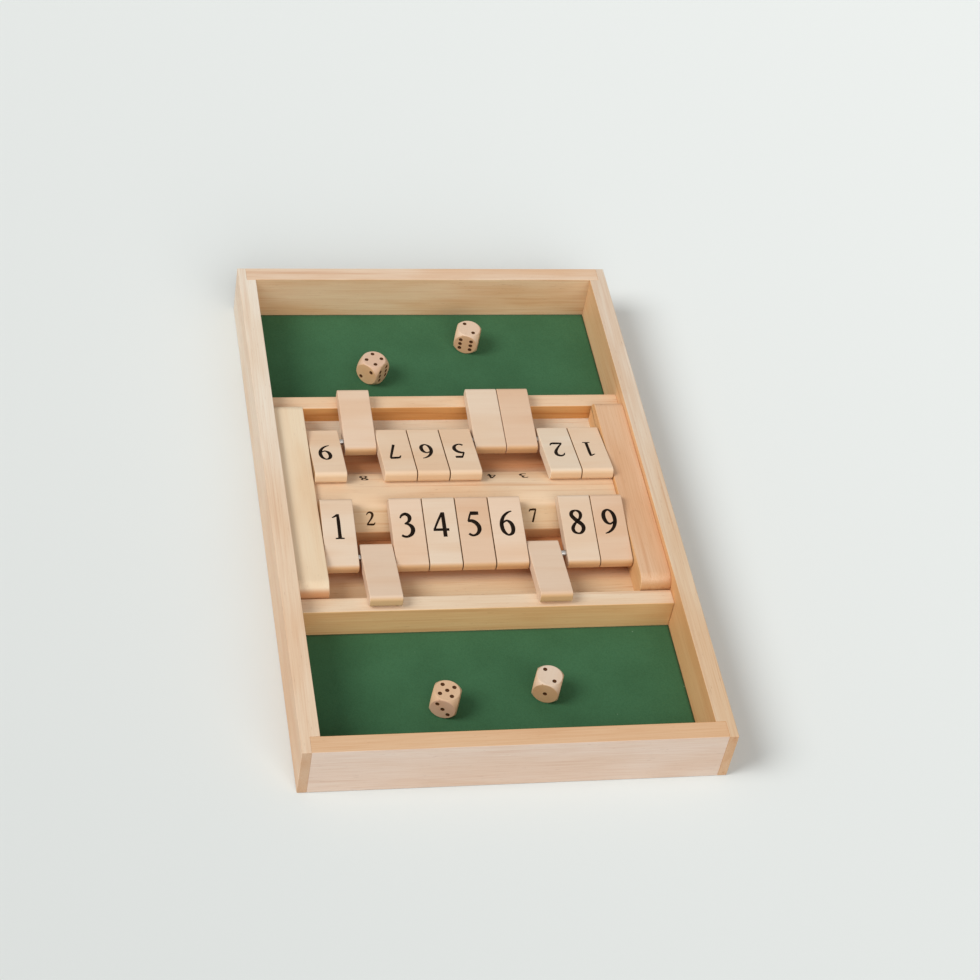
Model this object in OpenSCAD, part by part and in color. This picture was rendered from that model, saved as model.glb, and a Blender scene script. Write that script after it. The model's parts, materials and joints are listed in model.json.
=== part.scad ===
// Two-player shut the box: a shallow wooden box with a felted dice tray at each end. Between the
// trays a raised deck carries a number bar and two rows of nine tiles that flip over on steel rods.
// X runs along the rows of tiles, Y from the near player to the far player, and +Z is up.
// The origin is at the centre of the underside.

/* [Box] */
// Length of the box, from player to player
box_len = 340; // [310:1:400]
// Width of the box
box_wid = 210; // [190:1:240]
// Height of the walls
box_h = 30; // [28:0.5:40]
// Thickness of the walls
wall_t = 9.5; // [8:0.5:12]
// Part of the side wall's thickness that laps over the end of an end wall
lap_t = 4.6; // [3:0.1:6]
// Thickness of the base panel
base_t = 3; // [2:0.5:4]
// Depth of the rabbet under the walls that the base panel is let into
base_rabbet = 4; // [3:0.5:6]
// Gap between the base panel's edge and its rabbet
base_gap = 0.3; // [0.1:0.1:0.5]

/* [Dice trays] */
// Thickness of the felt
felt_t = 0.9; // [0.6:0.1:1.5]
// Gap between the felt's edge and the walls
felt_gap = 0.3; // [0.1:0.1:1]
// Thickness of the divider between a tray and the deck
divider_t = 9.1; // [6:0.1:12]
// Height of the dividers' top edge above the underside
divider_top = 20.4; // [19:0.1:21]

/* [Deck] */
// Length of the deck, from divider to divider
deck_len = 134.6; // [130:0.2:140]
// Thickness of the deck board, which lies on the base panel
deck_t = 8; // [6:0.5:9]
// Width of the holder block at each end of the rods
block_wid = 16; // [12:0.5:20]
// Height of the holder blocks' top face above the underside
block_top = 26.4; // [25:0.1:29]
// Radius of the roundover at the two top ends of a holder block
block_round = 6.5; // [2:0.5:10]
// Gap between each end of a holder block and the divider beside it
block_gap = 0.8; // [0.1:0.1:2]
// Height of the number bar's ridge above the underside
bar_top = 23.7; // [22:0.1:25]
// Width of the flat ridge along the top of the number bar
bar_ridge = 19; // [16:0.5:22]
// Width of the number bar at its foot
bar_wid = 41.8; // [38:0.2:48]
// Height above the underside at which the number bar's two slopes end
bar_shoulder = 17.6; // [15:0.1:20]

/* [Rods] */
// Diameter of the steel rods
rod_d = 3; // [2:0.1:4]
// Distance of each rod from the centre line of the box
rod_y = 41.25; // [39:0.25:44]
// Height of the rods above the underside
rod_z = 21; // [20:0.1:22]
// Length of rod that sits in a holder block
rod_seat = 8; // [4:0.5:11]
// Space left behind the rod's end in its blind hole
rod_end_gap = 0.5; // [0.2:0.1:1]
// Clearance round a rod in a holder block
block_fit = 0.05; // [0.02:0.01:0.1]

/* [Tiles] */
// Length of a tile
tile_len = 42; // [38:0.5:45]
// Thickness of a tile
tile_t = 6.5; // [5:0.1:7.5]
// Distance from a tile's rod end to the centre of its hole
tile_hole = 7.9; // [5:0.1:9]
// Radius of the rounding on a tile's ends
tile_round = 2.4; // [0.5:0.1:2.4]
// Clearance round the rod in a tile's hole
tile_fit = 0.08; // [0.02:0.01:0.1]
// Sideways play that one whole row of tiles has between its holder blocks
row_play = 7.4; // [5:0.1:12]
// Gap between a tile and the edge that it comes to rest on
tile_seat = 0.15; // [0.05:0.05:0.3]

/* [Dice] */
// Size of a die across its faces
die_size = 13.4; // [10:0.2:16]
// Share of the way from face to corner at which a die's corners are turned off
die_ball = 0.5; // [0.4:0.05:0.7]
// Spacing of the pips, as a share of the size of the die
pip_pitch = 0.22; // [0.2:0.01:0.24]
// Diameter of a pip
pip_d = 2.2; // [1:0.1:2.6]
// Depth of a pip
pip_depth = 0.5; // [0.2:0.1:0.7]
// Gap between a die and the felt that it lies on
die_seat = 0.1; // [0.05:0.05:0.3]

/* [Hidden] */
$fn = 96;
// How far a cut runs past the face that it opens
past = 1;
near = -1;
far = 1;

// The numbers that lie flipped over, blank side up, in each row
near_flipped = [2, 7];
far_flipped = [3, 4, 8];
// Gaps beside the tiles as they happen to lie, from the left block to the right block, each as a
// part of the row's whole play
near_gaps = [3, 14, 4, 4, 4, 4, 4, 30, 3.5, 3.5];
far_gaps = [3, 24, 4, 4, 4, 11, 4, 12, 4, 4];
// The dice: tray, place across the box, place along the box from the tray's centre, turn about the
// vertical, the numbers on the top, front and right faces, and the turn of the pips on the front
dice = [
    [far, -34.4, -9.6, -41, [4, 2, 6], 90],
    [far, 22.6, 15.3, -19, [2, 6, 4], 0],
    [near, -28.7, -7.1, -21, [5, 3, 1], 0],
    [near, 23.5, 0.2, -22, [2, 1, 3], 0]
];

inner_len = box_len - 2 * wall_t;
inner_wid = box_wid - 2 * wall_t;
deck_z = base_t + deck_t;
tray_start = deck_len / 2 + divider_t;
tray_len = inner_len / 2 - tray_start;
tray_mid = tray_start + tray_len / 2;

row_len = inner_wid - 2 * block_wid;
tiles = len(near_gaps) - 1;
tile_wid = (row_len - row_play) / tiles;
// A tile's tilt when it rests on the ridge's edge, open
open_tilt = rest_tilt(rod_y - bar_ridge / 2, bar_top - rod_z);
// A tile's tilt when it rests on the divider's edge, flipped over
flipped_tilt = rest_tilt(deck_len / 2 - rod_y, divider_top - rod_z);

// Tilt at which a tile's underside, half its thickness off the rod's axis, clears an edge that lies
// across and up from that axis by the seating gap
function rest_tilt(across, up) =
    asin((tile_t / 2 + tile_seat) / norm([across, up])) + atan2(up, across);

// Sum of the first n values of a list
function sum_to(values, n) = n == 0 ? 0 : values[n - 1] + sum_to(values, n - 1);

// Left edge of the tile in a place from the left, with the row's play shared out as the gaps say
function tile_left(place, gaps) =
    -row_len / 2 + (place - 1) * tile_wid + row_play * sum_to(gaps, place) / sum_to(gaps, len(gaps));

// A box centred across and along the game, from its low level to its high one
module slab(wid, len, low, high) {
    translate([-wid / 2, -len / 2, low])
        cube([wid, len, high - low]);
}

// The room that the base panel takes out of the walls
module base_room() {
    slab(inner_wid + 2 * base_rabbet, inner_len + 2 * base_rabbet, -past, base_t);
}

// A side wall on the right: full length, with a rabbet at each end for an end wall
module side_wall() {
    difference() {
        translate([box_wid / 2 - wall_t, -box_len / 2, 0])
            cube([wall_t, box_len, box_h]);
        for (end = [near, far])
            translate([0, end * (box_len - wall_t) / 2, 0])
                slab(box_wid - 2 * lap_t, wall_t, -past, box_h + past);
        base_room();
    }
}

// The far end wall: it fits between the laps of the side walls
module end_wall() {
    difference() {
        translate([0, (box_len - wall_t) / 2, 0])
            slab(box_wid - 2 * lap_t, wall_t, 0, box_h);
        base_room();
    }
}

module side_wall_left() {
    color("#e5cba6")
        mirror([1, 0, 0]) side_wall();
}

module side_wall_right() {
    color("#ddb48c")
        side_wall();
}

module end_wall_near() {
    color("#e3c8a0")
        mirror([0, 1, 0]) end_wall();
}

module end_wall_far() {
    color("#e3c8a0")
        end_wall();
}

module base_panel() {
    color("#d8b98c")
        slab(inner_wid + 2 * (base_rabbet - base_gap), inner_len + 2 * (base_rabbet - base_gap), 0, base_t);
}

module felt(side) {
    color("#3c6645")
        translate([0, side * tray_mid, 0])
            slab(inner_wid - 2 * felt_gap, tray_len - 2 * felt_gap, base_t, base_t + felt_t);
}

module divider(side) {
    color("#dcbd92")
        translate([0, side * (tray_start - divider_t / 2), 0])
            slab(inner_wid, divider_t, base_t, divider_top);
}

module deck_board() {
    color("#d2996e")
        slab(inner_wid, deck_len, base_t, deck_z);
}

// Outline of a holder block seen from the side: two round top ends, short of the dividers
module block_outline() {
    block_len = deck_len - 2 * block_gap;
    square_len = block_len / 2 - block_round;
    translate([-block_len / 2, deck_z])
        square([block_len, block_top - block_round - deck_z]);
    translate([-square_len, deck_z])
        square([2 * square_len, block_top - deck_z]);
    for (end = [near, far])
        translate([end * square_len, block_top - block_round])
            circle(r = block_round);
}

// The right holder block, with a blind hole for each rod
module holder_block() {
    inner_face = row_len / 2;
    difference() {
        translate([inner_face, 0, 0])
            rotate([90, 0, 90])
                linear_extrude(block_wid)
                    block_outline();
        for (side = [near, far])
            translate([inner_face - past, side * rod_y, rod_z])
                rotate([0, 90, 0])
                    cylinder(d = rod_d + 2 * block_fit, h = past + rod_seat + rod_end_gap);
    }
}

module holder_block_left() {
    color("#e5cba6")
        mirror([1, 0, 0]) holder_block();
}

module holder_block_right() {
    color("#ddb48c")
        holder_block();
}

// The bar between the two rows, with a flat ridge and a slope on each side for the numbers
module number_bar() {
    color("#e0c29a")
        translate([-row_len / 2, 0, 0])
            rotate([90, 0, 90])
                linear_extrude(row_len)
                    polygon([
                        [-bar_wid / 2, deck_z],
                        [bar_wid / 2, deck_z],
                        [bar_wid / 2, bar_shoulder],
                        [bar_ridge / 2, bar_top],
                        [-bar_ridge / 2, bar_top],
                        [-bar_wid / 2, bar_shoulder]
                    ]);
}

module rod(side) {
    rod_len = row_len + 2 * rod_seat;
    color("silver")
        translate([-rod_len / 2, side * rod_y, rod_z])
            rotate([0, 90, 0])
                cylinder(d = rod_d, h = rod_len);
}

// Outline of a tile seen from the side, with its hole at the origin and its free end towards +X
module tile_outline() {
    difference() {
        union() {
            translate([-tile_hole, -tile_t / 2 + tile_round])
                square([tile_len, tile_t - 2 * tile_round]);
            translate([-tile_hole + tile_round, -tile_t / 2])
                square([tile_len - 2 * tile_round, tile_t]);
            for (along = [-tile_hole + tile_round, tile_len - tile_hole - tile_round])
                for (up = [-1, 1])
                    translate([along, up * (tile_t / 2 - tile_round)])
                        circle(r = tile_round);
        }
        circle(d = rod_d + 2 * tile_fit);
    }
}

// A tile of the near row on its rod: its free end points to the bar when open, and to the divider
// when flipped
module near_row_tile(left, flipped) {
    turn = flipped ? 180 - flipped_tilt : open_tilt;
    translate([left, -rod_y, rod_z])
        rotate([turn, 0, 0])
            rotate([90, 0, 90])
                linear_extrude(tile_wid)
                    tile_outline();
}

// Whether a list holds a number
function holds(list, number) = len([for (value = list) if (value == number) value]) > 0;

module near_tile(number) {
    color("#e3c9ae")
        near_row_tile(tile_left(number, near_gaps), holds(near_flipped, number));
}

// The far row is numbered for the player who sits across, so its numbers run from right to left
module far_tile(number) {
    color("#e3c9ae")
        mirror([0, 1, 0])
            near_row_tile(tile_left(tiles + 1 - number, far_gaps), holds(far_flipped, number));
}

// Pips of one number on a face of unit pitch
function pips(number) = [
    for (x = [-1:1], y = [-1:1])
        if (x == 0 && y == 0 ? number % 2 == 1
            : x == 0 ? false
            : y == 0 ? number == 6
            : x == -y ? number > 1
            : number > 3)
            [x, y]
];

// Pips of one number sunk into the top face of a die at the origin
module face_pips(number) {
    ball_r = (pow(pip_d / 2, 2) + pow(pip_depth, 2)) / (2 * pip_depth);
    for (pip = pips(number))
        translate([pip.x * pip_pitch * die_size, pip.y * pip_pitch * die_size, die_size / 2 + ball_r - pip_depth])
            sphere(r = ball_r);
}

// A cube whose corners and edges are turned off by a ball
module die(faces, front_turn) {
    face_r = die_size / 2;
    top = faces[0];
    front = faces[1];
    right = faces[2];
    difference() {
        intersection() {
            cube(die_size, center = true);
            sphere(r = face_r * (1 + (sqrt(3) - 1) * die_ball));
        }
        face_pips(top);
        rotate([180, 0, 0]) face_pips(7 - top);
        rotate([90, 0, 0]) rotate([0, 0, front_turn]) face_pips(front);
        rotate([-90, 0, 0]) face_pips(7 - front);
        rotate([0, 90, 0]) rotate([0, 0, 90]) face_pips(right);
        rotate([0, -90, 0]) rotate([0, 0, 90]) face_pips(7 - right);
    }
}

module placed_die(number) {
    spec = dice[number - 1];
    color("#e6cdb0")
        translate([spec[1], spec[0] * tray_mid + spec[2], base_t + felt_t + die_seat + die_size / 2])
            rotate([0, 0, spec[3]])
                die(spec[4], spec[5]);
}

side_wall_left();
side_wall_right();
end_wall_near();
end_wall_far();
base_panel();
felt(near);  // felt_near
felt(far);  // felt_far
divider(near);  // divider_near
divider(far);  // divider_far
deck_board();
holder_block_left();
holder_block_right();
number_bar();
rod(near);  // rod_near
rod(far);  // rod_far
for (n = [1:tiles]) {
    near_tile(n);
    far_tile(n);
}
for (n = [1:len(dice)]) {
    placed_die(n);
}
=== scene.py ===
# %% [markdown]
# # Two-player shut the box
#
# The game is a shallow wooden box. In the middle two rows of nine tiles turn on steel rods, and a
# felted tray for the dice lies at each end. The wooden pieces, the rods and the dice come from the
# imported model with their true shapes, so this lesson gives them eased edges and finishes, and adds
# what only a picture needs: the printed numbers, the paint in the pips and the felt.

# %% Load the frame
import json
import math

import bpy
import numpy as np
from mathutils import Matrix, Vector


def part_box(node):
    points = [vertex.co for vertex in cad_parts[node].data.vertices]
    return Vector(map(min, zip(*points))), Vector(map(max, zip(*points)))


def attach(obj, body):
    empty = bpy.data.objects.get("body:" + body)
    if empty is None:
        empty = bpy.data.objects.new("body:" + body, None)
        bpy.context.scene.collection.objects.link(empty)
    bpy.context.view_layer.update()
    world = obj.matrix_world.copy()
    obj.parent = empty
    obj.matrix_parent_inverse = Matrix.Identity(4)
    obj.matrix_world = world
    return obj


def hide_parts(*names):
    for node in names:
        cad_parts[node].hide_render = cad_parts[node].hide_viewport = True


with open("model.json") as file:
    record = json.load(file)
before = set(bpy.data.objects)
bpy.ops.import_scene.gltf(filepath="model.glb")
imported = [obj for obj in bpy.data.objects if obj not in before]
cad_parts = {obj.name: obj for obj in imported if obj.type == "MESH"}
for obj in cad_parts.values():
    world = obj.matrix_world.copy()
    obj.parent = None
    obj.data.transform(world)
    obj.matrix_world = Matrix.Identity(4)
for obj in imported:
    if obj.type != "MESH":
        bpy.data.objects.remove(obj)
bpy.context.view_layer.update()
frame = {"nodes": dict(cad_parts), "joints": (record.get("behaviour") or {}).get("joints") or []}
nodes = frame["nodes"]
MM = 0.001

# %% [markdown]
# ## The camera and the light
#
# The view is a portrait of the whole game from above the near left corner, with a long lens. The
# camera is given by where it stands, where it looks and how it is rolled. The horizontal and
# vertical shift slide the picture on the sensor without turning the camera.

# %% Place the camera
CAMERA_AT = Vector((-0.25394, -0.84693, 0.90589))
CAMERA_LOOKS = Vector((0.20037, 0.68536, -0.70009))
CAMERA_RIGHT = Vector((0.97961, -0.15091, 0.13263))
IMAGE_SIDE = 980
FOCAL_PIXELS = 2410.65
PICTURE_CENTRE = (459.84, 469.97)


def aim_camera():
    """Builds the camera's axes from its line of sight and its right hand, made square to each other."""
    forward = CAMERA_LOOKS.normalized()
    right = (CAMERA_RIGHT - forward * CAMERA_RIGHT.dot(forward)).normalized()
    up = right.cross(forward)
    data = bpy.data.cameras.new("camera")
    data.lens = FOCAL_PIXELS / IMAGE_SIDE * data.sensor_width
    data.shift_x = (IMAGE_SIDE / 2 - PICTURE_CENTRE[0]) / IMAGE_SIDE
    data.shift_y = (PICTURE_CENTRE[1] - IMAGE_SIDE / 2) / IMAGE_SIDE
    camera = bpy.data.objects.new("camera", data)
    turn = Matrix((right, up, -forward)).transposed().to_4x4()
    camera.matrix_world = Matrix.Translation(CAMERA_AT) @ turn
    bpy.context.scene.collection.objects.link(camera)
    bpy.context.scene.camera = camera
    return camera


camera = aim_camera()
shift = (camera.data.shift_x, camera.data.shift_y)
print("lens", round(camera.data.lens, 2), "mm, shift", [round(part, 4) for part in shift])


# %% [markdown]
# Every colour below is written as an sRGB hex value, as a paint card gives it. Blender's shaders
# work in linear light, so one function turns hex to linear. A second small function adds a node to a
# tree, sets its values and links its inputs, and every material is built with it. A third starts a
# material without nodes.

# %% Three helpers for materials
def linear(hex_colour):
    """sRGB to linear: a straight slope near black, and a power of 2.4 above it."""
    srgb = np.array([int(hex_colour[i : i + 2], 16) / 255 for i in (1, 3, 5)])
    low, high = srgb / 12.92, ((srgb + 0.055) / 1.055) ** 2.4
    return (*np.where(srgb <= 0.04045, low, high).tolist(), 1.0)


def add(tree, kind, values=None, links=None, **settings):
    """Adds a node: settings are its properties, values fill its sockets, links join sockets to its own."""
    node = tree.nodes.new(kind)
    for key, value in settings.items():
        setattr(node, key, value)
    for key, value in (values or {}).items():
        node.inputs[key].default_value = value
    for key, source in (links or {}).items():
        tree.links.new(source, node.inputs[key])
    return node


def new_material(name):
    """A material without nodes, and its tree to add them to."""
    material = bpy.data.materials.new(name)
    material.use_nodes = True
    material.node_tree.nodes.clear()
    return material, material.node_tree


print("pale wood #e3c9ae in linear light:", [round(v, 3) for v in linear("#e3c9ae")[:3]])

# %% [markdown]
# The studio is a pale floor under a wide white sky. The camera, and anything shiny or clear, sees
# that sky in a pale grey, and the floor is a little darker in itself, so that under the lamps it
# comes out as the same grey. The floor still catches the game's shadow.

# %% The floor and the sky
PAPER = "#ebedec"
FLOOR_TONE = "#e4e7e5"
SKY_LEVEL = 0.33
FLOOR_HALF = 6.0
FLOOR_DROP = 0.2 * MM


def make_floor():
    """A square at the level the box stands on, a hair lower so that the two never share a plane."""
    mesh = bpy.data.meshes.new("floor")
    h, z = FLOOR_HALF, -FLOOR_DROP
    mesh.from_pydata([(-h, -h, z), (h, -h, z), (h, h, z), (-h, h, z)], [], [(0, 1, 2, 3)])
    floor = bpy.data.objects.new("floor", mesh)
    bpy.context.scene.collection.objects.link(floor)
    material, tree = new_material("matt_paper_floor")
    matt = add(tree, "ShaderNodeBsdfDiffuse", {"Color": linear(FLOOR_TONE), "Roughness": 0.9})
    add(tree, "ShaderNodeOutputMaterial", links={"Surface": matt.outputs[0]})
    mesh.materials.append(material)


def make_sky():
    """White light on the game, and the paper's grey for rays that look at the sky or mirror it."""
    world = bpy.data.worlds.new("studio_sky")
    world.use_nodes = True
    tree = world.node_tree
    tree.nodes.clear()
    path = add(tree, "ShaderNodeLightPath")
    rays = [path.outputs[f"Is {kind} Ray"] for kind in ("Camera", "Glossy", "Transmission")]
    first_two = add(tree, "ShaderNodeMath", links={0: rays[0], 1: rays[1]}, operation="MAXIMUM")
    all_three = {0: first_two.outputs[0], 1: rays[2]}
    any_of_them = add(tree, "ShaderNodeMath", links=all_three, operation="MAXIMUM")
    light = add(tree, "ShaderNodeBackground", {"Color": (1, 1, 1, 1), "Strength": SKY_LEVEL})
    seen = add(tree, "ShaderNodeBackground", {"Color": linear(PAPER), "Strength": 1.0})
    choice = {0: any_of_them.outputs[0], 1: light.outputs[0], 2: seen.outputs[0]}
    both = add(tree, "ShaderNodeMixShader", links=choice)
    add(tree, "ShaderNodeOutputWorld", links={"Surface": both.outputs[0]})
    bpy.context.scene.world = world


make_floor()
make_sky()
bpy.context.scene.view_settings.view_transform = "Standard"
print("floor", 2 * FLOOR_HALF, "m wide, sky level", SKY_LEVEL)

# %% [markdown]
# Two soft boxes stand far off. The key stands on the left at half height, so the left wall throws a
# shadow as wide as the wall is high, and every die has one on its right. The fill is broad, and comes
# from the near side, where a player sits, so the faces that look at the camera stay bright. A sun
# lamp does this job: it lights every piece alike, and its angle says how wide the soft box looks from
# the game.

# %% The lamps
SOFT_BOXES = {
    "key": {"from": (-0.70, -0.12, 0.70), "level": 1.72, "spread": 30},
    "fill": {"from": (0.10, -0.85, 0.52), "level": 1.20, "spread": 50},
}


def make_lamp(name, place, level, spread):
    """A sun lamp that shines from a place towards the origin."""
    place = Vector(place)
    data = bpy.data.lights.new(name, "SUN")
    data.angle, data.energy = math.radians(spread), level
    lamp = bpy.data.objects.new(name, data)
    lamp.location = place
    lamp.rotation_euler = (-place).to_track_quat("-Z", "Y").to_euler()
    bpy.context.scene.collection.objects.link(lamp)
    return lamp


for name, box in SOFT_BOXES.items():
    lamp = make_lamp(f"{name}_soft_box", box["from"], box["level"], box["spread"])
    print(lamp.name, round(math.degrees(math.asin(lamp.location.normalized().z))), "degrees above the floor")

# %% [markdown]
# ## Eased edges
#
# A real board never ends in a perfect edge: sandpaper has taken it off. The model's wooden solids
# have sharp edges and are made of loose triangles, so each gets four modifiers. Weld joins the
# triangles, Decimate merges those that share a plane, Bevel rounds every edge that is sharper than a
# limit, and Weighted Normal keeps the wide faces flat in the shading. The mesh itself is not touched.
#
# The walls are sanded flush after they are glued, so their joints show as hairlines, and their edges
# are eased less than those of the loose pieces.

# %% Ease the edges of the wooden pieces
WALL_EDGE = 0.25 * MM
BOARD_EDGE = 0.5 * MM
TILE_EDGE = 0.45 * MM
DIE_EDGE = 0.10 * MM
# Faces across a rounded edge; a die's edge is so small that two are enough
EDGE_STEPS = 3
DIE_EDGE_STEPS = 2
WELD = 0.002 * MM
SAME_PLANE = math.radians(0.5)
SHARP = math.radians(30)


def ease_edges(node, width, steps):
    """Adds the four modifiers to a node of the model."""
    piece = nodes[node]
    piece.modifiers.new("weld", "WELD").merge_threshold = WELD
    planes = piece.modifiers.new("whole_faces", "DECIMATE")
    planes.decimate_type, planes.angle_limit = "DISSOLVE", SAME_PLANE
    bevel = piece.modifiers.new("eased_edge", "BEVEL")
    bevel.width, bevel.segments = width, steps
    bevel.limit_method, bevel.angle_limit = "ANGLE", SHARP
    bevel.use_clamp_overlap = False
    piece.data.polygons.foreach_set("use_smooth", [True] * len(piece.data.polygons))
    piece.modifiers.new("flat_faces", "WEIGHTED_NORMAL").keep_sharp = True


walls = ["side_wall_left", "side_wall_right", "end_wall_near", "end_wall_far"]
boards = ["divider_near", "divider_far", "holder_block_left", "holder_block_right", "number_bar"]
tiles = [f"{row}_tile_{number}" for row in ("near", "far") for number in range(1, 10)]
dice = [f"die_{number}" for number in range(1, 5)]
edges = (
    (walls, WALL_EDGE, EDGE_STEPS),
    (boards, BOARD_EDGE, EDGE_STEPS),
    (tiles, TILE_EDGE, EDGE_STEPS),
    (dice, DIE_EDGE, DIE_EDGE_STEPS),
)
for names, width, steps in edges:
    for name in names:
        ease_edges(name, width, steps)
    print(len(names), "pieces eased by", round(width / MM, 2), "mm, from", names[0], "to", names[-1])

# %% [markdown]
# ## Wood
#
# The game is rubberwood, a pale tropical hardwood: straight-grained, creamy with pink and straw
# patches, and with fine brown pores that show as short dashes. A board is cut from a log, so its
# figure is worked out in the log's own directions: along the grain everything is long, and across it
# narrow. Growth rings are cylinders round a pith outside the board, so they show as long bands on
# its faces and as arcs on its ends, and nothing has to be painted on.
#
# The rest of the figure lies in layers, as stains do: each one multiplies the colour below it. A
# layer is a noise stretched along the grain, from broad patches to fibres half a millimetre wide, and
# shows where the noise passes a limit.

# %% One layer of figure
SOFT = {"interpolation_type": "SMOOTHSTEP"}
BLEND = {"data_type": "RGBA"}
STAIN = {"data_type": "RGBA", "blend_type": "MULTIPLY"}


def figure(tree, where, below, size, limits, share, shade, detail=2.0):
    """Stains the colour below. Amount = share * smooth step of a noise between two limits."""
    length, width = (extent * MM for extent in size)
    at = add(tree, "ShaderNodeMapping", {"Scale": (1 / length, 1 / width, 1 / width)}, {"Vector": where})
    noise = add(tree, "ShaderNodeTexNoise", {"Scale": 1.0, "Detail": detail}, {"Vector": at.outputs[0]})
    steps = {"From Min": limits[0], "From Max": limits[1], "To Max": share}
    fade = add(tree, "ShaderNodeMapRange", steps, {"Value": noise.outputs[0]}, **SOFT)
    stain = add(tree, "ShaderNodeMix", **STAIN)
    stain.inputs["B"].default_value = linear(shade)
    tree.links.new(fade.outputs[0], stain.inputs["Factor"])
    if isinstance(below, str):
        stain.inputs["A"].default_value = linear(below)
    else:
        tree.links.new(below, stain.inputs["A"])
    return stain.outputs["Result"], noise.outputs[0]


# Length along the grain and width across it in millimetres, the limits of the noise, and the stain.
# Fibres and pores are drawn about twice as wide as real ones, so that they show in the picture.
PATCH = {"size": (80.0, 17.0), "limits": (0.38, 0.68), "shade": "#f5e4d3"}
STREAK = {"size": (120.0, 2.6), "limits": (0.55, 0.72), "shade": "#dfb692", "detail": 4.0}
FIBRE = {"size": (24.0, 0.55), "limits": (0.35, 0.72), "shade": "#e3c4a6", "detail": 3.0}
PORE = {"size": (5.5, 0.42), "limits": (0.66, 0.76), "shade": "#a5764f"}
print("layers from", PATCH["size"], "to", PORE["size"], "mm")

# %% [markdown]
# A board has three tones: one for its broad faces, one for its sides and one for its ends. The side
# tone is painted shade, set board by board for the light those faces get: mostly darker and more
# orange, on a few boards paler, as painted light. The end tone is painted shade too, and partly the
# browner end grain. Which tone shows follows the way a face looks, which the surface normal tells:
# across the grain on a side, along it on an end.

# %% Three tones for a board: its faces, and painted shade on sides and ends
SIDEWAYS = {"From Min": 0.3, "From Max": 0.95}
ENDWAYS = {"From Min": 0.6, "From Max": 0.95}


# Side and end tones are painted shade for the light those faces get; the end tone is also the darker end
# grain
def tones_with_painted_shade(tree, normal, turned, tones):
    """In the log's directions the normal's |Y| mixes face and side, and then its |X| mixes in the end."""
    face, side, end = (linear(tone) for tone in tones)
    looks = add(tree, "ShaderNodeMapping", {"Rotation": turned}, {"Vector": normal}, vector_type="VECTOR")
    parts = add(tree, "ShaderNodeSeparateXYZ", links={0: looks.outputs[0]})
    across = add(tree, "ShaderNodeMath", links={0: parts.outputs["Y"]}, operation="ABSOLUTE")
    along = add(tree, "ShaderNodeMath", links={0: parts.outputs["X"]}, operation="ABSOLUTE")
    sideways = add(tree, "ShaderNodeMapRange", SIDEWAYS, {"Value": across.outputs[0]}, **SOFT)
    endways = add(tree, "ShaderNodeMapRange", ENDWAYS, {"Value": along.outputs[0]}, **SOFT)
    sided = add(tree, "ShaderNodeMix", {"A": face, "B": side}, {"Factor": sideways.outputs[0]}, **BLEND)
    both = {"Factor": endways.outputs[0], "A": sided.outputs["Result"]}
    return add(tree, "ShaderNodeMix", {"B": end}, both, **BLEND).outputs["Result"]


print("a side's tone starts", round(math.degrees(math.asin(SIDEWAYS["From Min"]))), "degrees from a face")

# %% [markdown]
# Two more layers go with the figure. Growth rings are a saw-tooth wave round the pith: spring wood
# darkens slowly towards summer wood and then jumps back. A band is a strip along X, at any place
# across the game, in which a board's colour is darkened; most bands are painted shade.

# %% Growth rings and bands
RING_GAP = 5.0
# At scale 1 the wave texture repeats every tau / 20 metres
RING_UNIT = math.tau / 20
RING_WAVES = {"Distortion": 6.0, "Detail": 2.0, "Detail Scale": 0.25}
RING_KIND = {"wave_type": "RINGS", "rings_direction": "X", "wave_profile": "SAW"}
RING_SHADE = "#f0dac2"
DRAWN_OUT = (0.06, 1, 1)


def growth_rings(tree, log, below, share):
    """Stains the colour below. Amount = share * a saw-tooth of the way from the pith, drawn out along X."""
    squashed = add(tree, "ShaderNodeMapping", {"Scale": DRAWN_OUT}, {"Vector": log})
    waves = RING_WAVES | {"Scale": RING_UNIT / (RING_GAP * MM)}
    ring = add(tree, "ShaderNodeTexWave", waves, {"Vector": squashed.outputs[0]}, **RING_KIND)
    strength = add(tree, "ShaderNodeMath", {1: share}, {0: ring.outputs["Fac"]}, operation="MULTIPLY")
    both = {"Factor": strength.outputs[0], "A": below}
    return add(tree, "ShaderNodeMix", {"B": linear(RING_SHADE)}, both, **STAIN).outputs["Result"]


def band_across(tree, where, below, middle, full, gone, shade):
    """Darkens the colour below, mostly as painted shade. Amount = 1 where |Y - middle| is up to full, and 0
    where it is past gone.
    """
    place = add(tree, "ShaderNodeSeparateXYZ", links={0: where})
    off = add(tree, "ShaderNodeMath", {1: middle * MM}, {0: place.outputs["Y"]}, operation="SUBTRACT")
    out = add(tree, "ShaderNodeMath", links={0: off.outputs[0]}, operation="ABSOLUTE")
    limits = {"From Min": gone * MM, "From Max": full * MM}
    amount = add(tree, "ShaderNodeMapRange", limits, {"Value": out.outputs[0]}, **SOFT)
    both = {"Factor": amount.outputs[0], "A": below}
    return add(tree, "ShaderNodeMix", {"B": linear(shade)}, both, **STAIN).outputs["Result"]


print("a growth ring every", RING_GAP, "mm")

# %% [markdown]
# The wood itself puts the tones, the layers, the rings and the bands together. A seed chooses how far
# the grain strays from the board's direction and where the pith lay. The pores are sunk a little and
# the fibres stand up, and the satin lacquer over them has only a faint gloss.

# %% The wood
GRAIN_STRAYS = 1.2
PITH_FROM = (-0.4, 0.03, 0.04)
PITH_TO = (0.4, 0.09, 0.10)
PORE_SINKS = -0.8
RELIEF = {"Strength": 0.25, "Distance": 0.08 * MM}
LACQUER = {"IOR": 1.5, "Specular IOR Level": 0.2}
# How much of each stain shows, as a share, and how rough the lacquer is
PLAIN = {"rings": 0.2, "patches": 0.6, "streaks": 0.4, "fibres": 0.25, "pores": 0.3, "roughness": 0.5}


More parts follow.
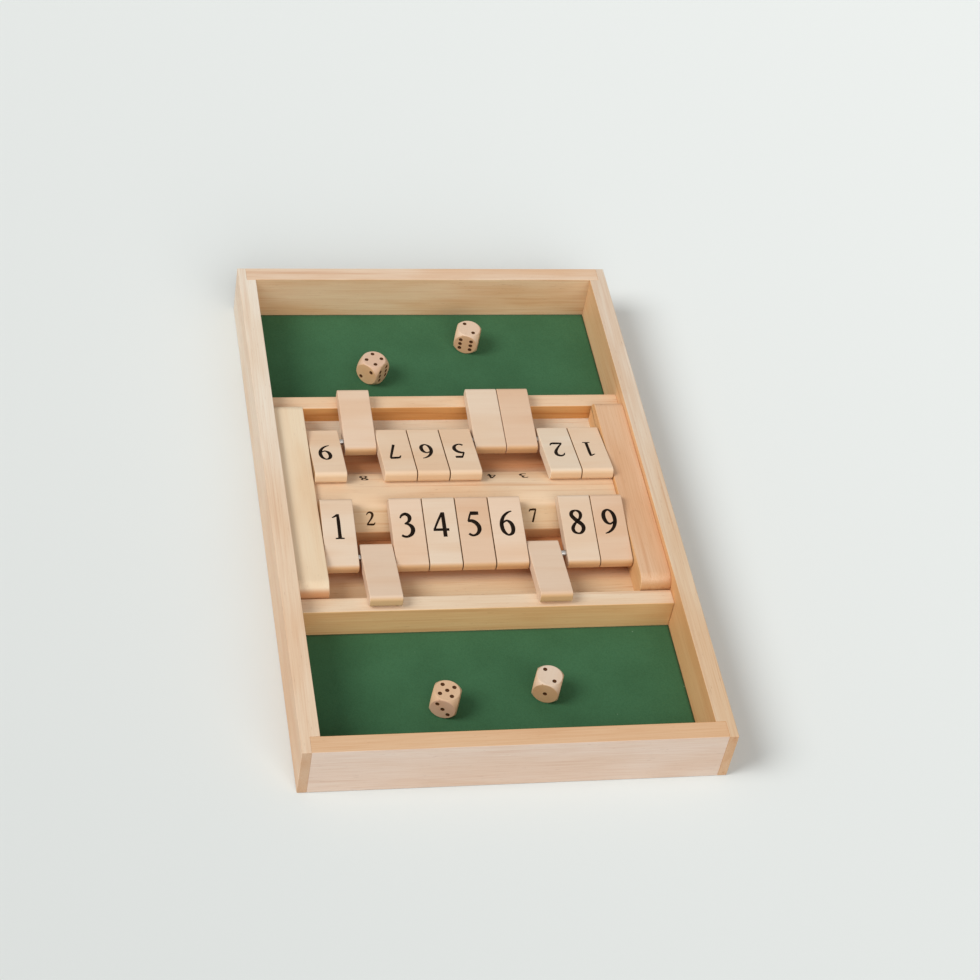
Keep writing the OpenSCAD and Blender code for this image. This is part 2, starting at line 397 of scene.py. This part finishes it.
def wood(name, grain, seed, tones, look=PLAIN, bands=()):
    """Wood with its grain at an angle from X in degrees; tones are those of its faces, sides and ends."""
    look = PLAIN | look
    material, tree = new_material(name)
    chance = np.random.default_rng(seed)
    where = add(tree, "ShaderNodeTexCoord")
    turned = (0.0, 0.0, -math.radians(grain + chance.uniform(-GRAIN_STRAYS, GRAIN_STRAYS)))
    pith = chance.uniform(PITH_FROM, PITH_TO) * chance.choice((-1, 1), 3)
    in_log = {"Rotation": turned, "Location": tuple(pith)}
    log = add(tree, "ShaderNodeMapping", in_log, {"Vector": where.outputs["Object"]}).outputs[0]

    colour = tones_with_painted_shade(tree, where.outputs["Normal"], turned, tones)
    colour, _ = figure(tree, log, colour, share=look["patches"], **PATCH)
    colour = growth_rings(tree, log, colour, look["rings"])
    colour, _ = figure(tree, log, colour, share=look["streaks"], **STREAK)
    colour, fibre_noise = figure(tree, log, colour, share=look["fibres"], **FIBRE)
    colour, pore_noise = figure(tree, log, colour, share=look["pores"], **PORE)
    for band in bands:
        colour = band_across(tree, where.outputs["Object"], colour, *band)

    grain_noise = {0: pore_noise, 2: fibre_noise}
    height = add(tree, "ShaderNodeMath", {1: PORE_SINKS}, grain_noise, operation="MULTIPLY_ADD")
    bump = add(tree, "ShaderNodeBump", RELIEF, {"Height": height.outputs[0]})
    made = {"Base Color": colour, "Normal": bump.outputs[0]}
    satin = add(tree, "ShaderNodeBsdfPrincipled", {"Roughness": look["roughness"], **LACQUER}, made)
    add(tree, "ShaderNodeOutputMaterial", links={"Surface": satin.outputs[0]})
    return material


def finish_node(node, material):
    """Gives a node of the model one material."""
    nodes[node].data.materials.clear()
    nodes[node].data.materials.append(material)


print("the grain strays up to", GRAIN_STRAYS, "degrees")

# %% [markdown]
# Boards from different logs differ in tone, which is what makes a wooden game look like wood. The
# grain of the side walls, the blocks and the base runs from player to player, and that of the other
# boards runs across. Each board has its grain's angle, a seed, its three tones, and how its figure
# differs from the plain one. The base is birch plywood without lacquer. Its veneer was peeled round
# the log, so its rings show more strongly, and it looks yellower and more matt than the boards.
#
# The bands darken boards in strips. On the deck, darker and redder bands are painted shade under
# each row of tiles, and a weaker redder band lies in front of the near row. The bar has a band of
# painted shade on the slope where the near tiles lie, and the near wall a warm painted shade on its
# inner side. Both side walls are redder and darker towards their near ends.

# %% The walls, dividers, deck and blocks
# Tones are face, side and end: the side tones are painted shade set for each board's light, the end tones
# painted shade with darker end grain
BOARDS = {
    "side_wall_left": (90, 11, "#f4eada", "#efe0cd", "#dcc9b4", {"streaks": 0.2, "rings": 0.12}),
    "side_wall_right": (90, 12, "#e7d7c4", "#ebc497", "#dcc0a6", {"streaks": 0.35}),
    "end_wall_near": (
        0, 13, "#e5be97", "#e8d4c4", "#e2c09c",
        {"streaks": 0.2, "patches": 0.35, "rings": 0.1},
    ),
    "end_wall_far": (0, 44, "#eed5bb", "#f3d4ae", "#e2c09c", {"streaks": 0.45, "patches": 0.9}),
    "divider_near": (0, 15, "#eed7ba", "#efc790", "#dcb690", {"streaks": 0.4}),
    "divider_far": (0, 16, "#f0d0ad", "#e2a868", "#dcb690", {"streaks": 0.5, "patches": 0.9}),
    "deck_board": (0, 17, "#efe1c9", "#d8a874", "#d8a874", {"streaks": 0.6}),
    "number_bar": (0, 18, "#f2d5b3", "#ebba8b", "#d8ae86", {"streaks": 0.5, "fibres": 0.12, "rings": 0.1}),
    "holder_block_left": (
        90, 19, "#f1dcbd", "#e6bb8a", "#cb966a",
        {"streaks": 0.05, "rings": 0.03, "fibres": 0.1},
    ),
    "holder_block_right": (90, 20, "#e5be9a", "#e4b883", "#cda072", {"streaks": 0.35, "rings": 0.12}),
}

# Across the board in millimetres: the band's middle, how far its full tone goes, and where it is gone
# Most bands are painted shade: the deck's under the tile rows, the bar's on its near slope, the near wall's
# on its inner face
BANDS = {
    "side_wall_left": ((-170.0, 100.0, 290.0, "#f9e8d8"),),
    "side_wall_right": ((-170.0, 60.0, 290.0, "#fff6e7"),),
    "deck_board": (
        (-60.0, 8.0, 16.0, "#ffefdc"),
        (-30.0, 10.0, 24.0, "#e2a981"),
        (36.0, 4.0, 15.0, "#dfad8b"),
    ),
    "number_bar": ((-16.0, 5.0, 8.0, "#e9e3d8"),),
    "end_wall_near": ((-160.0, 0.6, 1.0, "#f6dcb6"),),
}
PLY_TONES = ("#dfc197", "#cda678", "#c49a70")
PLY_LOOK = {"rings": 0.6, "roughness": 0.65}

for name, (grain, seed, *tones, look) in BOARDS.items():
    finish_node(name, wood(f"rubberwood_{name}", grain, seed, tones, look, BANDS.get(name, ())))
finish_node("base_panel", wood("birch_plywood", 90, 21, PLY_TONES, PLY_LOOK))
print("wood on", len(BOARDS) + 1, "boards")

# %% [markdown]
# A tile is sawn from a strip with the grain across it, so the edges that meet its neighbours are end
# grain. Most of these edges are painted dark brown, as painted shade in the narrow gaps between the
# tiles; those that show in the open keep the strip's tone. The strips are mixed before the tiles are
# threaded on the rods, so neighbours differ. The two ends of a tile are painted shade as well: darker
# on most tiles, where the end by the rod shows, and paler, as painted light, on the tiles whose free
# end shows. Tiles are the calmest wood of the game: short pieces were chosen without streaks, so
# that the numbers read well. The dice are cut from square sticks of beech, and their side and end
# tones are painted shade too.

# %% The tiles and dice
STRIPS = {"cream": "#f3e3cd", "straw": "#f2d6b8", "ash": "#e8d2ba", "rose": "#e9ceb4", "tan": "#e3c3a6"}
TILE_STRIPS = {
    "near": ("ash", "rose", "rose", "ash", "tan", "rose", "rose", "ash", "tan"),
    "far": ("straw", "cream", "tan", "ash", "straw", "straw", "straw", "rose", "straw"),
}
# Painted shade on the tile ends where the end by the rod shows; the tiles listed next get a paler tone, as
# painted light
TILE_SIDE_SHADE = "#d4a97a"
PAINTED_LIT_SIDES = {"near": ("#dfb989", (2, 7)), "far": ("#e8c9a4", (1, 2, 5, 6, 7, 9))}
# Painted shade of the gaps between tiles, on the end grain that meets a neighbour; the tiles listed next keep
# their strip's tone there
GAP_SHADE_END = "#a27c54"
ENDS_OUT_OF_GAP_SHADE = {"near": (2, 3, 7, 8), "far": (2, 3, 4, 7, 8)}
DIE_TURNS = {"die_1": -41, "die_2": -19, "die_3": -21, "die_4": -22}
# A die's tones are face, side and end; the side and end tones are painted shade
DIE_TONES = {
    "die_1": ("#e2c3ab", "#d8b48e", "#e2bb90"),
    "die_2": ("#e4c8ae", "#d8b48e", "#deb18a"),
    "die_3": ("#e0bc99", "#d8b48e", "#e6bda2"),
    "die_4": ("#e5cfb9", "#d8b48e", "#d6ae85"),
}
CALM = {"rings": 0.05, "patches": 0.5, "streaks": 0.06, "fibres": 0.06, "pores": 0.08, "roughness": 0.45}
TILE_SEEDS = 30
DIE_SEEDS = 60

for row, strips in TILE_STRIPS.items():
    pale, pale_ones = PAINTED_LIT_SIDES[row]
    for number, strip in enumerate(strips, 1):
        name = f"{row}_tile_{number}"
        side = pale if number in pale_ones else TILE_SIDE_SHADE
        end = STRIPS[strip] if number in ENDS_OUT_OF_GAP_SHADE[row] else GAP_SHADE_END
        tones = (STRIPS[strip], side, end)
        finish_node(name, wood(f"rubberwood_{name}", 0, TILE_SEEDS + tiles.index(name), tones, CALM))
for name, turn in DIE_TURNS.items():
    seed = DIE_SEEDS + dice.index(name)
    finish_node(name, wood(f"beech_{name}", 90 + turn, seed, DIE_TONES[name], CALM))
print("wood on", len(tiles), "tiles and", len(dice), "dice")

# %% [markdown]
# ## Steel rods
#
# The tiles turn on drawn steel wire. Drawing pulls the metal through a hole and leaves fine lines
# along it, so its bump is stretched along the rod.

# %% Drawn steel
# Real lines are a few hundredths of a millimetre wide; these are coarser, so that they show
LINE_LONG = 8 * MM
LINE_WIDE = 0.12 * MM
LINE_RELIEF = {"Strength": 0.2, "Distance": 0.02 * MM}
STEEL_TONE = "#b4b0ac"


def drawn_steel():
    """Bright steel wire: a soft glint, broken by fine lines along X."""
    material, tree = new_material("drawn_steel")
    where = add(tree, "ShaderNodeTexCoord")
    along = {"Scale": (1 / LINE_LONG, 1 / LINE_WIDE, 1 / LINE_WIDE)}
    at = add(tree, "ShaderNodeMapping", along, {"Vector": where.outputs["Object"]})
    lines = add(tree, "ShaderNodeTexNoise", {"Scale": 1.0, "Detail": 2.0}, {"Vector": at.outputs[0]})
    bump = add(tree, "ShaderNodeBump", LINE_RELIEF, {"Height": lines.outputs[0]})
    values = {"Base Color": linear(STEEL_TONE), "Metallic": 1.0, "Roughness": 0.42}
    steel = add(tree, "ShaderNodeBsdfPrincipled", values, {"Normal": bump.outputs[0]})
    add(tree, "ShaderNodeOutputMaterial", links={"Surface": steel.outputs[0]})
    return material


steel = drawn_steel()
for name in ("rod_near", "rod_far"):
    finish_node(name, steel)
    nodes[name].modifiers.new("weld", "WELD").merge_threshold = WELD
    nodes[name].data.polygons.foreach_set("use_smooth", [True] * len(nodes[name].data.polygons))
    nodes[name].modifiers.new("flat_ends", "WEIGHTED_NORMAL")
print("steel on 2 rods")

# %% [markdown]
# ## Felt
#
# Each tray is lined with a sheet of short green felt, glued to the base. Felt has no weave: its
# fibres lie every way, so it looks even from afar, slightly cloudy close up, and has a few specks of
# pale lint. The sheet is a grid of points whose height swells by a few hundredths of a millimetre,
# and Solidify gives it its thickness.

# %% The felt's finish
FELT_GREEN = "#416e4b"
# The fuzz stands for tufts of fibres; a single fibre is far too fine to show
CLOUD = {"size": (28.0, 28.0), "limits": (0.35, 0.70), "share": 0.55, "shade": "#e0e4de", "detail": 3.0}
FUZZ = {"size": (0.7, 0.7), "limits": (0.35, 0.70), "share": 0.35, "shade": "#d0d4cc"}
LINT_APART = 15 * MM
LINT_TONE = "#9ab59a"
# As shares of the space between specks: where a speck starts to show, and where it shows in full
LINT = {"From Min": 0.04, "From Max": 0.02, "To Max": 0.5}
FUZZ_RELIEF = {"Strength": 0.5, "Distance": 0.12 * MM}
MATT = {"Roughness": 0.95, "Specular IOR Level": 0.15}
BLOOM = {"Sheen Weight": 0.12, "Sheen Roughness": 0.6, "Sheen Tint": linear("#9fc4a4")}


def needled_felt():
    """Needled felt: matt, with the faint bloom that upright fibres give."""
    material, tree = new_material("needled_felt")
    where = add(tree, "ShaderNodeTexCoord").outputs["Object"]
    colour, _ = figure(tree, where, FELT_GREEN, **CLOUD)
    colour, fuzz = figure(tree, where, colour, **FUZZ)
    specks = add(tree, "ShaderNodeTexVoronoi", {"Scale": 1 / LINT_APART}, {"Vector": where})
    near = add(tree, "ShaderNodeMapRange", LINT, {"Value": specks.outputs[0]})
    both = {"Factor": near.outputs[0], "A": colour}
    specked = add(tree, "ShaderNodeMix", {"B": linear(LINT_TONE)}, both, **BLEND)
    bump = add(tree, "ShaderNodeBump", FUZZ_RELIEF, {"Height": fuzz})
    made = {"Base Color": specked.outputs["Result"], "Normal": bump.outputs[0]}
    nap = add(tree, "ShaderNodeBsdfPrincipled", MATT | BLOOM, made)
    add(tree, "ShaderNodeOutputMaterial", links={"Surface": nap.outputs[0]})
    return material


felt = needled_felt()
print("material", felt.name)

# %% The felt sheets
FELT_THICK = 0.9 * MM
FELT_SWELL = 0.06 * MM
FELT_STEP = 1.5 * MM
# Lengths in metres over which the three waves of the swell turn by one radian
ALONG_X, SNAKE, ALONG_Y, SKEW, SLANT = 0.013, 0.031, 0.009, 0.027, 0.019


def grid_faces(rows, columns):
    """The quads between the points of a grid that is numbered row by row."""
    index = np.arange(rows * columns).reshape(rows, columns)
    return np.stack([index[:-1, :-1], index[:-1, 1:], index[1:, 1:], index[1:, :-1]], -1).reshape(-1, 4)


def new_piece(name, points, faces, material, body):
    """Makes a piece from points and faces, and says which body carries it and which finish it has."""
    mesh = bpy.data.meshes.new(name)
    mesh.from_pydata(points.reshape(-1, 3).tolist(), [], faces.tolist())
    mesh.polygons.foreach_set("use_smooth", [True] * len(faces))
    mesh.materials.append(material)
    piece = bpy.data.objects.new(name, mesh)
    bpy.context.scene.collection.objects.link(piece)
    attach(piece, body)
    return piece


def felt_sheet(node):
    """Height = the top of the model's felt, less a swell that adds three crossed sine waves."""
    low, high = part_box(node)
    across = np.linspace(low.x, high.x, round((high.x - low.x) / FELT_STEP) + 1)
    along = np.linspace(low.y, high.y, round((high.y - low.y) / FELT_STEP) + 1)
    x, y = np.meshgrid(across, along)
    waves = np.sin(x / ALONG_X + 2 * np.sin(y / SNAKE))
    waves += np.sin(y / ALONG_Y - x / SKEW)
    waves += np.sin((x + y) / SLANT)
    z = high.z - FELT_SWELL * (3 - waves) / 6
    piece = new_piece(f"{node}_sheet", np.stack([x, y, z], -1), grid_faces(*x.shape), felt, "box")
    thick = piece.modifiers.new("thickness", "SOLIDIFY")
    thick.thickness, thick.offset = FELT_THICK - FELT_SWELL, -1
    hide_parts(node)
    return piece


sheets = [felt_sheet(name) for name in ("felt_near", "felt_far")]
print("felt sheets with", [len(sheet.data.polygons) for sheet in sheets], "faces")

# %% [markdown]
# ## Numerals
#
# The numbers are printed in an old-style book face, whose strokes swell and thin as a broad pen's
# do. So each numeral is a few pen strokes: a smooth curve through points, each with the width of
# the pen there. A numeral is one unit high; a point is (across, up, width).

# %% The pen strokes
STROKES = {
    1: [
        [(0.252, 0.985, 0.075), (0.258, 0.7, 0.1), (0.258, 0.3, 0.1), (0.258, 0.03, 0.11)],
        [(0.055, 0.845, 0.02), (0.14, 0.885, 0.045), (0.24, 0.955, 0.065)],
        [
            (0.105, 0.014, 0.028), (0.18, 0.02, 0.04), (0.258, 0.026, 0.05), (0.335, 0.02, 0.04),
            (0.41, 0.014, 0.028),
        ],
    ],
    2: [
        [
            (0.03, 0.745, 0.02), (0.095, 0.875, 0.055), (0.225, 0.935, 0.105), (0.35, 0.865, 0.125),
            (0.385, 0.725, 0.125), (0.335, 0.545, 0.1), (0.215, 0.33, 0.07), (0.05, 0.085, 0.05),
        ],
        [
            (0.02, 0.055, 0.075), (0.22, 0.056, 0.11), (0.4, 0.056, 0.11), (0.475, 0.1, 0.06),
            (0.525, 0.2, 0.018),
        ],
    ],
    3: [
        [
            (0.05, 0.775, 0.03), (0.115, 0.885, 0.07), (0.235, 0.94, 0.1), (0.345, 0.88, 0.12),
            (0.378, 0.765, 0.12), (0.325, 0.635, 0.08), (0.185, 0.545, 0.028),
        ],
        [
            (0.185, 0.55, 0.026), (0.305, 0.53, 0.08), (0.415, 0.435, 0.125), (0.445, 0.29, 0.135),
            (0.38, 0.13, 0.11), (0.245, 0.04, 0.075), (0.13, 0.045, 0.075), (0.045, 0.095, 0.07),
        ],
    ],
    4: [
        [(0.385, 0.99, 0.1), (0.385, 0.6, 0.115), (0.385, 0.01, 0.12)],
        [(0.36, 0.96, 0.075), (0.2, 0.66, 0.062), (0.045, 0.33, 0.055)],
        [(0.0, 0.295, 0.085), (0.27, 0.295, 0.085), (0.545, 0.295, 0.085)],
    ],
    5: [
        [(0.165, 0.925, 0.125), (0.3, 0.925, 0.13), (0.455, 0.925, 0.115)],
        [(0.185, 0.94, 0.05), (0.125, 0.78, 0.05), (0.07, 0.6, 0.05)],
        [
            (0.055, 0.605, 0.06), (0.18, 0.62, 0.115), (0.315, 0.545, 0.135), (0.405, 0.4, 0.135),
            (0.41, 0.25, 0.125), (0.335, 0.11, 0.09), (0.215, 0.04, 0.065), (0.12, 0.05, 0.075),
            (0.035, 0.11, 0.07),
        ],
    ],
    6: [
        [
            (0.485, 0.985, 0.022), (0.34, 0.925, 0.062), (0.19, 0.785, 0.09), (0.095, 0.58, 0.115),
            (0.075, 0.36, 0.125), (0.125, 0.16, 0.11), (0.265, 0.03, 0.06), (0.41, 0.11, 0.105),
            (0.455, 0.3, 0.13), (0.405, 0.5, 0.115), (0.28, 0.6, 0.065), (0.165, 0.55, 0.05),
            (0.085, 0.48, 0.04),
        ],
    ],
    7: [
        [(0.065, 0.915, 0.1), (0.25, 0.93, 0.12), (0.455, 0.935, 0.11)],
        [(0.015, 0.775, 0.02), (0.05, 0.85, 0.05), (0.1, 0.93, 0.08)],
        [(0.445, 0.945, 0.06), (0.36, 0.62, 0.08), (0.2, 0.01, 0.09)],
    ],
    8: [
        [
            (0.275, 0.965, 0.05), (0.145, 0.905, 0.1), (0.105, 0.775, 0.125), (0.185, 0.635, 0.135),
            (0.31, 0.505, 0.145), (0.435, 0.365, 0.135), (0.455, 0.215, 0.12), (0.375, 0.075, 0.09),
            (0.265, 0.03, 0.055), (0.125, 0.09, 0.095), (0.085, 0.23, 0.11), (0.15, 0.38, 0.09),
            (0.27, 0.515, 0.06), (0.385, 0.64, 0.085), (0.43, 0.785, 0.105), (0.39, 0.905, 0.09),
            (0.275, 0.965, 0.05),
        ],
    ],
}
# A nine is a six upside down: its points run through the middle of the six's box
STROKES[9] = [[(0.545 - across, 1.0 - up, width) for across, up, width in stroke] for stroke in STROKES[6]]
SPAN_STEPS = 8


def smooth_through(points, steps):
    """Cubic spans through all points; the slope at a point is half the step between its neighbours."""
    p = np.asarray(points, float)
    p = np.vstack([2 * p[0] - p[1], p, 2 * p[-1] - p[-2]])
    t = np.linspace(0, 1, steps, endpoint=False)[None, :, None]
    before, start, end, after = (p[i : len(p) - 3 + i][:, None, :] for i in range(4))
    slope_in, slope_out = (end - before) / 2, (after - start) / 2
    ease = 3 * t**2 - 2 * t**3
    curve = start * (1 - ease) + end * ease + slope_in * (t**3 - 2 * t**2 + t) + slope_out * (t**3 - t**2)
    return np.vstack([curve.reshape(-1, p.shape[1]), p[-2]])


def ribbon(points, weight):
    """A flat ribbon: each point of the curve steps half its width to both sides; weight widens the pen."""
    curve = smooth_through(points, SPAN_STEPS)
    curve[:, 2] += weight
    heading = np.gradient(curve[:, :2], axis=0)
    heading /= np.linalg.norm(heading, axis=1, keepdims=True)
    side = np.stack([-heading[:, 1], heading[:, 0]], 1) * curve[:, 2:] / 2
    corners = np.stack([curve[:, :2] - side, curve[:, :2] + side], 1).reshape(-1, 2)
    first = np.arange(len(curve) - 1) * 2
    return corners, np.stack([first, first + 2, first + 3, first + 1], 1)


def numeral(number, weight):
    """All ribbons of a numeral about its middle, one unit high: points are (across, up, stroke's number)."""
    parts = [ribbon(stroke, weight) for stroke in STROKES[number]]
    starts = np.cumsum([0] + [len(corners) for corners, _ in parts[:-1]])
    strokes = np.repeat(np.arange(len(parts)), [len(corners) for corners, _ in parts])
    flat = np.vstack([corners for corners, _ in parts])
    faces = np.vstack([quads + start for (_, quads), start in zip(parts, starts)])
    return np.column_stack([flat - (flat.min(0) + flat.max(0)) / 2, strokes]), faces


print("numerals:", {number: len(numeral(number, 0.0)[0]) for number in STROKES}, "points")

# %% [markdown]
# A numeral is laid on a face by three directions: across it, up it, and out of it. On a tile these
# come from the tile itself: its middle lies on a line from the rod, so the direction from the rod to
# the middle of its points is the way it leans, whether it lies open or flipped.

# %% Print the numbers
TILE_NUMBERS = {
    "near": {"size": 15.0 * MM, "weight": 0.018, "from_rod": 16.7 * MM, "aside": -0.3 * MM},
    "far": {"size": 13.2 * MM, "weight": 0.020, "from_rod": 14.5 * MM, "aside": -0.9 * MM},
}
BAR_NUMBERS = {"size": 7.4 * MM, "weight": 0.030, "pitch": 17.0 * MM, "aside": -1.3 * MM}
BAR_WIDER = 1.15
TILE_HALF = 3.25 * MM
INK = 0.03 * MM
OVERLAP = 0.004 * MM
WORN = {"size": (7.0, 0.45), "limits": (0.45, 0.85), "share": 0.6, "shade": "#b09a8a"}
INK_RELIEF = {"Strength": 0.2, "Distance": 0.02 * MM}
INK_FILM = {"Roughness": 0.7, "Specular IOR Level": 0.08}


def print_number(name, number, look, centre, across, up, body, ink):
    """Point = centre + size * (a * across + b * up) + out * height; each stroke lies a hair over the last."""
    drawn, faces = numeral(number, look["weight"])
    out = np.cross(across, up)
    out /= np.linalg.norm(out)
    flat = look["size"] * (drawn[:, :1] * across + drawn[:, 1:2] * up)
    points = centre + flat + out * (INK + OVERLAP * drawn[:, 2:])
    piece = new_piece(name, points, faces, ink, body)
    film = piece.modifiers.new("film", "SOLIDIFY")
    film.thickness, film.offset = INK, -1
    return piece


def printing_ink(name, tone):
    """Screen ink: matt, and worn a little where the fibres of the wood stand up."""
    material, tree = new_material(name)
    where = add(tree, "ShaderNodeTexCoord").outputs["Object"]
    colour, grain = figure(tree, where, tone, **WORN)
    bump = add(tree, "ShaderNodeBump", INK_RELIEF, {"Height": grain})
    made = {"Base Color": colour, "Normal": bump.outputs[0]}
    film = add(tree, "ShaderNodeBsdfPrincipled", INK_FILM, made)
    add(tree, "ShaderNodeOutputMaterial", links={"Surface": film.outputs[0]})
    return material


def tile_number(row, number):
    """The number on a tile's upper face as it lies open; it goes under with the tile when that is flipped."""
    name = f"{row}_tile_{number}"
    hinge = next(joint for joint in frame["joints"] if joint["child"] == name)
    rod = np.array(hinge["pos_m"])
    points = np.array([vertex.co for vertex in nodes[name].data.vertices])
    lean = points.mean(0) - rod
    lean[0] = 0
    lean /= np.linalg.norm(lean)
    across = np.array([1.0, 0, 0]) if row == "near" else np.array([-1.0, 0, 0])
    out = np.cross(across, lean)
    look = TILE_NUMBERS[row]
    centre = rod + lean * look["from_rod"] + out * TILE_HALF
    centre[0] += look["aside"]
    return print_number(f"{name}_number", number, look, centre, across, lean, name, tile_ink)


tile_ink = printing_ink("black_screen_ink", "#1c1208")
printed = [tile_number(row, number) for row in ("near", "far") for number in range(1, 10)]
print("numbers on", len(printed), "tiles")

# %% [markdown]
# The small numbers stand on the two slopes of the bar, under the open tiles, and show when a tile is
# flipped. The tiles fall on them all day, so their ink has worn to brown. The slope's line comes from
# the bar itself: from the edge of its ridge to its shoulder.

# %% Print the small numbers on the bar
bar_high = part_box("number_bar")[1]
RIDGE_HALF = 9.5 * MM
SHOULDER = 17.6 * MM
UP_THE_SLOPE = 0.9 * MM
MIDDLE_NUMBER = 5


def bar_number(row, number):
    """A small number in the middle of its slope, upright for the player who sits on that side."""
    side = -1 if row == "near" else 1
    ridge = np.array([0, side * RIDGE_HALF, bar_high.z])
    shoulder = np.array([0, side * bar_high.y, SHOULDER])
    up = (ridge - shoulder) / np.linalg.norm(ridge - shoulder)
    right = np.array([-side, 0.0, 0.0])
    centre = (ridge + shoulder) / 2 + up * UP_THE_SLOPE
    centre += right * (number - MIDDLE_NUMBER) * BAR_NUMBERS["pitch"]
    centre[0] += BAR_NUMBERS["aside"]
    name = f"bar_{row}_number_{number}"
    return print_number(name, number, BAR_NUMBERS, centre, right * BAR_WIDER, up, "box", bar_ink)


bar_ink = printing_ink("worn_screen_ink", "#3a2612")
printed += [bar_number(row, number) for row in ("near", "far") for number in range(1, 10)]
print("numbers in all:", len(printed))

# %% [markdown]
# ## Pips
#
# The pips are shallow drilled dimples with a drop of brown paint. The dimples are in the model, so
# the paint is a thin cap of the same ball, a hair proud of the dimple. The pips of a face are picked
# from a three by three grid.

# %% Paint the pips
PIP_PITCH = 0.22
PIP_HALF = 1.1 * MM
PIP_DEEP = 0.5 * MM
PAINT = 0.03 * MM
CAP_POINTS = 11
# The paint ends a little inside the dimple's rim
CAP_WIDE = 0.97
# The numbers on the top, near and right faces, and the turn of the near face's pips
DIE_FACES = {
    "die_1": ((4, 2, 6), 90),
    "die_2": ((2, 6, 4), 0),
    "die_3": ((5, 3, 1), 0),
    "die_4": ((2, 1, 3), 0),
}


def pip_grid(number):
    """The middle if odd, one diagonal from two, both from four, and the middles of two sides for six."""
    places = [(0, 0)] * (number % 2)
    places += [(-1, 1), (1, -1)] * (number > 1)
    places += [(1, 1), (-1, -1)] * (number > 3)
    places += [(-1, 0), (1, 0)] * (number == 6)
    return np.array(places, float)


def pip_caps(number, half):
    """Caps on the face z = half. Height = half - depth + ball - sqrt(ball^2 - r^2), r from a cap's middle."""
    ball = (PIP_HALF**2 + PIP_DEEP**2) / (2 * PIP_DEEP)
    u, v = np.meshgrid(np.linspace(-1, 1, CAP_POINTS), np.linspace(-1, 1, CAP_POINTS))
    # A square grid eased into a round one: each way shrinks as the other way nears the rim
    x = u * np.sqrt(1 - v**2 / 2) * PIP_HALF * CAP_WIDE
    y = v * np.sqrt(1 - u**2 / 2) * PIP_HALF * CAP_WIDE
    z = half - PIP_DEEP + ball - np.sqrt(ball**2 - x**2 - y**2) + PAINT
    cap = np.stack([x, y, z], -1)
    shifts = np.pad(pip_grid(number) * PIP_PITCH * 2 * half, ((0, 0), (0, 1)))
    return [cap + shift for shift in shifts]


def turn_about(axis, angle):
    """The matrix that turns points about an axis."""
    return np.array(Matrix.Rotation(angle, 3, axis))


def die_paint(name):
    """All pips of a die as one piece: each face's caps are turned to that face, then with the die."""
    (top, near, right), near_turn = DIE_FACES[name]
    low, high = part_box(name)
    quarter = math.pi / 2
    sides = (
        (top, np.eye(3)),
        (7 - top, turn_about("X", math.pi)),
        (near, turn_about("X", quarter) @ turn_about("Z", math.radians(near_turn))),
        (7 - near, turn_about("X", -quarter)),
        (right, turn_about("Y", quarter) @ turn_about("Z", quarter)),
        (7 - right, turn_about("Y", -quarter) @ turn_about("Z", quarter)),
    )
    lies = turn_about("Z", math.radians(DIE_TURNS[name]))
    half = (high.z - low.z) / 2
    all_caps = [cap @ (lies @ turned).T for number, turned in sides for cap in pip_caps(number, half)]
    caps = np.stack(all_caps)
    points = caps + np.array((low + high) / 2)
    count, rows, columns = caps.shape[:3]
    faces = grid_faces(rows, columns)[None] + np.arange(count)[:, None, None] * rows * columns
    return new_piece(f"{name}_pips", points, faces.reshape(-1, 4), paint, name)


paint = printing_ink("brown_pip_paint", "#54341c")
pips = [die_paint(name) for name in dice]
print("pips painted on", len(pips), "dice")
